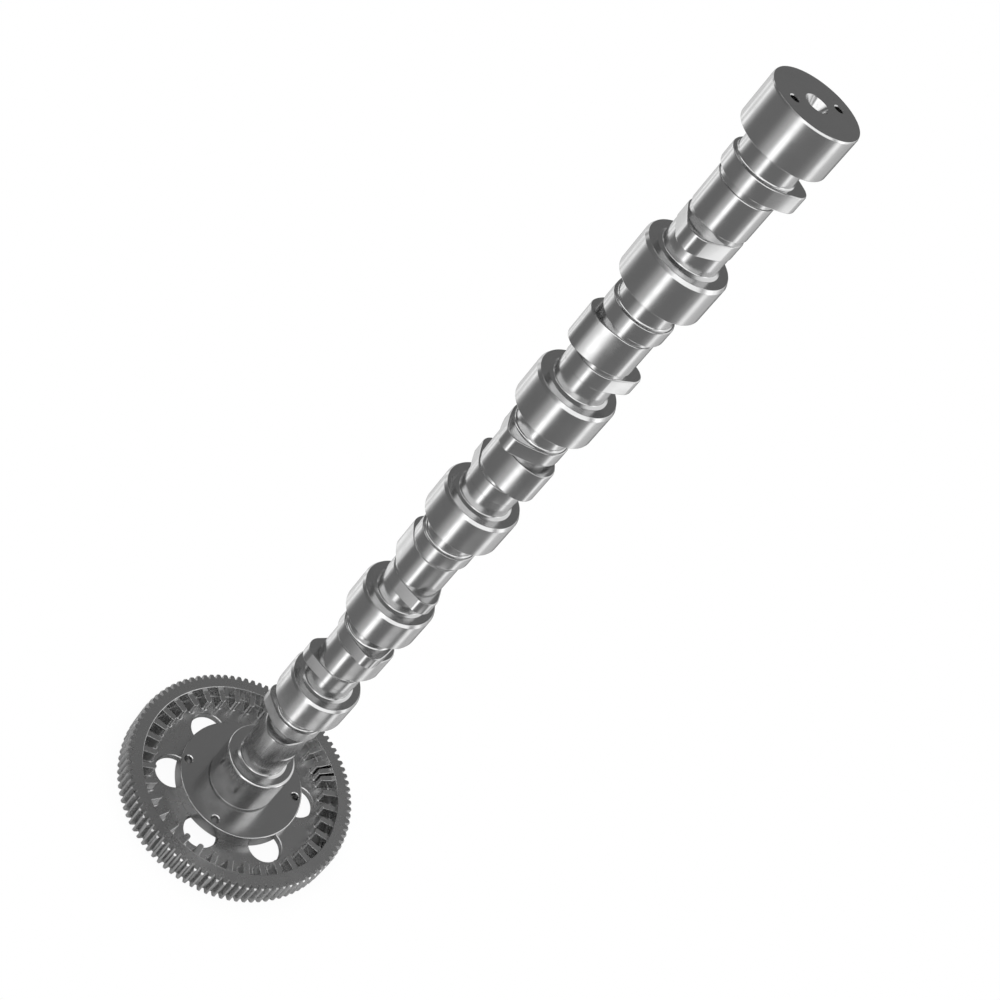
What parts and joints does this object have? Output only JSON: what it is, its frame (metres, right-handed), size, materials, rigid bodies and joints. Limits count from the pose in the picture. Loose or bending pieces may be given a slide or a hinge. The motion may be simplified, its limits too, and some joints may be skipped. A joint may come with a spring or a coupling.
{
  "type": "camshaft",
  "caption": "Engine camshaft with round bearing journals, grouped lobes for each cylinder, an end flange and a spur gear shrunk on behind the flange.",
  "frame": {"origin": "on the shaft's axis, in the plane of the gear's back face", "axes": "+Z along the shaft's axis, from the gear to the free end; +X and +Y square to it, with azimuths clockwise from +Y seen from the free end"},
  "size_m": [0.271, 0.271, 1.0425],
  "materials": {
    "ground_steel": "ground and polished",
    "gear_steel": "fine machined"
  },
  "bodies": {
    "root": {"camshaft": "ground_steel", "cam_gear": "gear_steel"}
  },
  "joints": []
}
